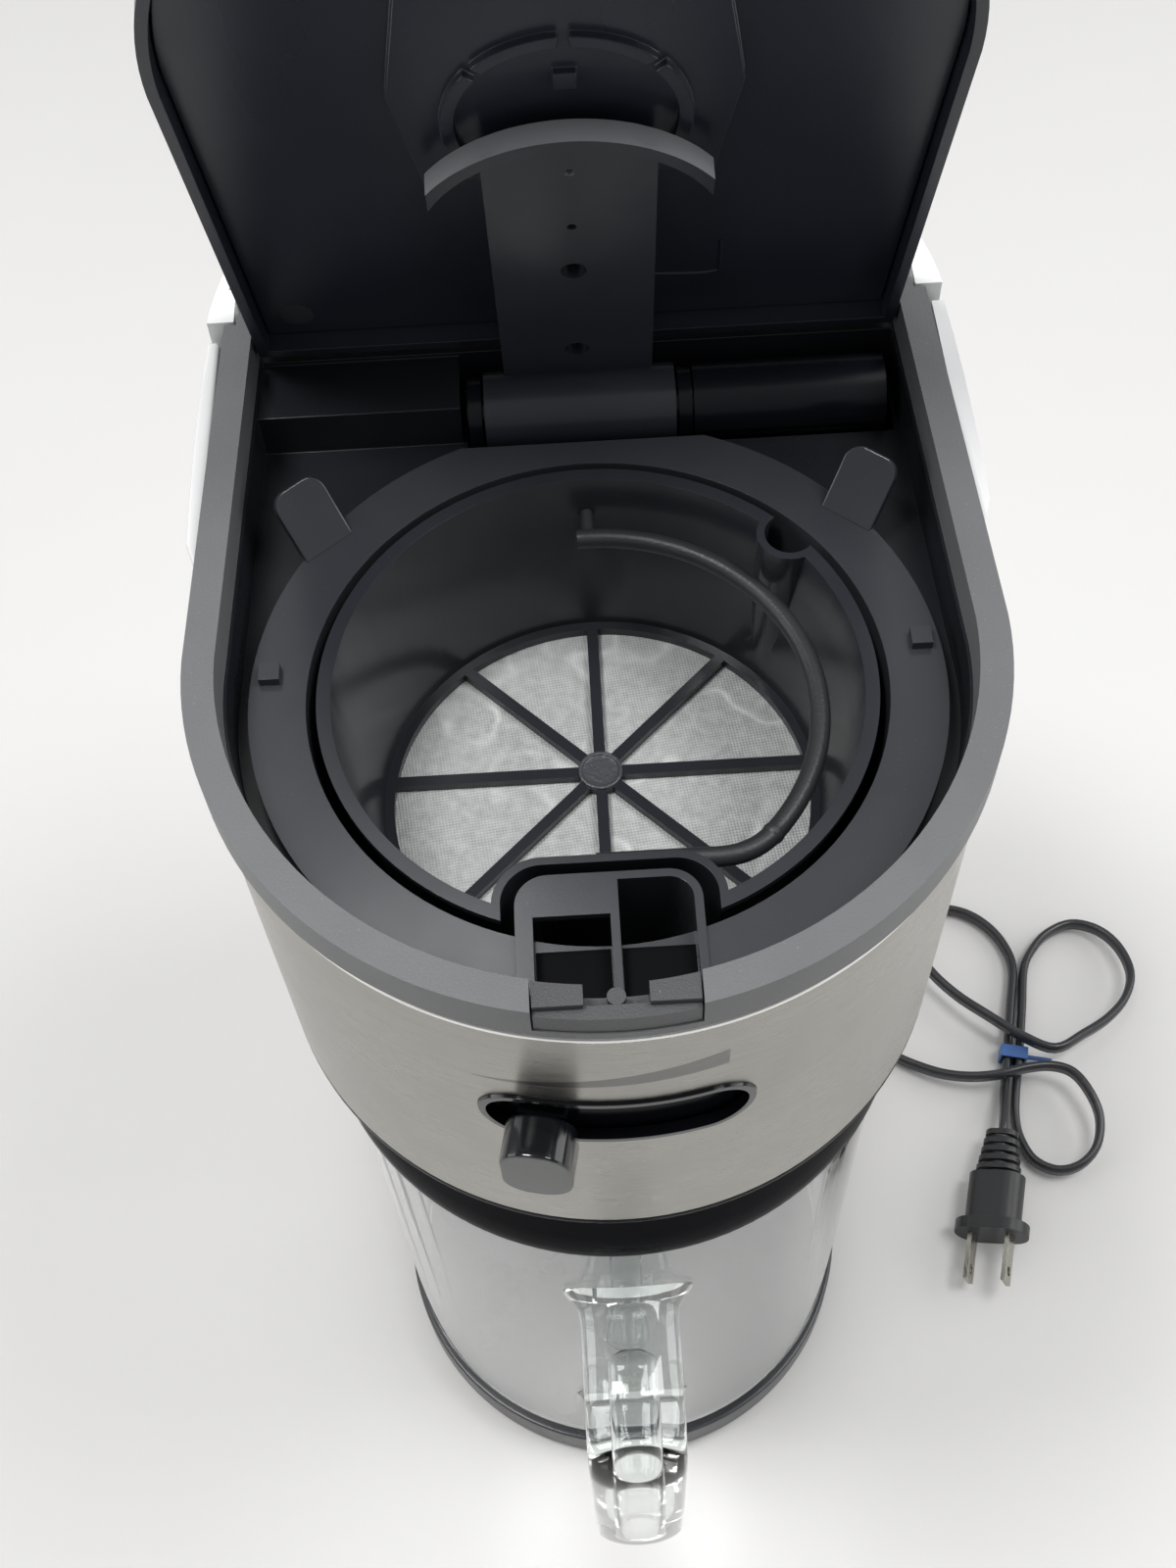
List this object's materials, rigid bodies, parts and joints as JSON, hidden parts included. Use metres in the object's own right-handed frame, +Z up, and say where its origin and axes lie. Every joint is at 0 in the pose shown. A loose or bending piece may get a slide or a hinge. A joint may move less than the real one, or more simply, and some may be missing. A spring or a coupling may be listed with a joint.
{
  "type": "iced tea maker",
  "caption": "Electric iced tea maker: open hinged lid over a lift-out tea filter, steel-banded brew head with a strength slider, glass jug below and a water tank behind.",
  "frame": {"origin": "on the table, under the axis of the jug and the brew head, in the middle of the centre foot", "axes": "+Z up, the front with the slider and the jug handle faces -Y, +X to the right"},
  "size_m": [0.2691, 0.2675, 0.4967],
  "materials": {
    "black_plastic": "satin",
    "gloss_black": "gloss",
    "rim_grey": "fine texture",
    "white_plastic": "gloss",
    "steel": "brushed",
    "glass": "clear",
    "rubber": "matte",
    "hose": "matte",
    "heater_metal": "cast",
    "thermostat_cap": "matte",
    "mesh": "fine weave",
    "bail_coat": "coated wire",
    "tie_blue": "satin",
    "blade_metal": "nickel plated"
  },
  "bodies": {
    "housing": {"base": "black_plastic", "base_plate": "black_plastic", "feet": "rubber", "tower": "white_plastic", "cheek_left": "white_plastic", "cheek_right": "white_plastic", "head_cover": "black_plastic", "head_shell": "black_plastic", "steel_wrap": "steel", "head_rim": "rim_grey", "latch_block": "rim_grey", "slot_bezel": "gloss_black", "hinge_bracket": "black_plastic", "hot_water_tube": "black_plastic", "riser_hose": "hose", "heater": "heater_metal", "thermostat": "thermostat_cap", "power_switch": "black_plastic", "strain_relief": "rubber", "power_cord": "rubber", "cord_tie": "tie_blue", "plug_body": "rubber", "plug_blades": "blade_metal"},
    "lid": {"lid_shell": "black_plastic", "lid_liner": "black_plastic"},
    "arm": {"water_arm": "black_plastic", "swivel_seals": "rubber"},
    "basket": {"tea_basket": "black_plastic", "basket_ears": "black_plastic"},
    "valve": {"drip_valve": "rubber"},
    "filter": {"filter_frame": "black_plastic", "filter_mesh": "mesh"},
    "bail": {"bail_handle": "bail_coat"},
    "slider": {"slider_plate": "black_plastic", "strength_knob": "gloss_black"},
    "jug": {"jug_glass": "glass", "jug_handle": "glass"},
    "jug_cap": {"jug_lid": "gloss_black", "jug_gasket": "rubber"},
    "tank": {"tank_shell": "white_plastic", "tank_rim": "white_plastic", "tank_valve": "rubber"},
    "tank_cover": {"tank_lid": "rim_grey"},
    "button": {"power_button": "gloss_black"}
  },
  "joints": [
    {"name": "lid_hinge", "type": "hinge", "parent": "housing", "child": "lid", "pos_m": [0, 0.084, 0.3419], "axis": [-1, 0, 0], "range_deg": [-75, 6]},
    {"name": "arm_swivel", "type": "hinge", "parent": "housing", "child": "arm", "pos_m": [0, 0.074, 0.3279], "axis": [-1, 0, 0], "range_deg": [-75, 6]},
    {"name": "basket_lift", "type": "slide", "parent": "housing", "child": "basket", "axis": [0, 0, 1], "range_m": [0, 0.05]},
    {"name": "valve_lift", "type": "slide", "parent": "basket", "child": "valve", "axis": [0, 0, 1], "range_m": [0, 0.003]},
    {"name": "filter_lift", "type": "slide", "parent": "basket", "child": "filter", "axis": [0, 0, 1], "range_m": [0, 0.06]},
    {"name": "bail_swing", "type": "hinge", "parent": "filter", "child": "bail", "pos_m": [0, 0, 0.3219], "axis": [0, -1, 0], "range_deg": [0, 180]},
    {"name": "strength_slide", "type": "hinge", "parent": "housing", "child": "slider", "pos_m": [0, 0, 0.2969], "axis": [0, 0, 1], "range_deg": [-3, 24.5]},
    {"name": "jug_pull", "type": "slide", "parent": "housing", "child": "jug", "axis": [0, -1, 0], "range_m": [0, 0.16]},
    {"name": "jug_cap_twist", "type": "hinge", "parent": "jug", "child": "jug_cap", "pos_m": [0, 0, 0.2119], "axis": [0, 0, 1], "range_deg": [0, 90]},
    {"name": "tank_lift", "type": "slide", "parent": "housing", "child": "tank", "axis": [0, 0, 1], "range_m": [0, 0.07]},
    {"name": "tank_cover_hinge", "type": "hinge", "parent": "tank", "child": "tank_cover", "pos_m": [0, 0.0979, 0.3444], "axis": [1, 0, 0], "range_deg": [0, 80]},
    {"name": "power_press", "type": "slide", "parent": "housing", "child": "button", "axis": [-1, 0, 0], "range_m": [0, 0.0015], "stiffness_N_per_m": 400}
  ],
  "couplings": [
    {"joint": "arm_swivel", "follows": "lid_hinge", "ratio": 1}
  ]
}
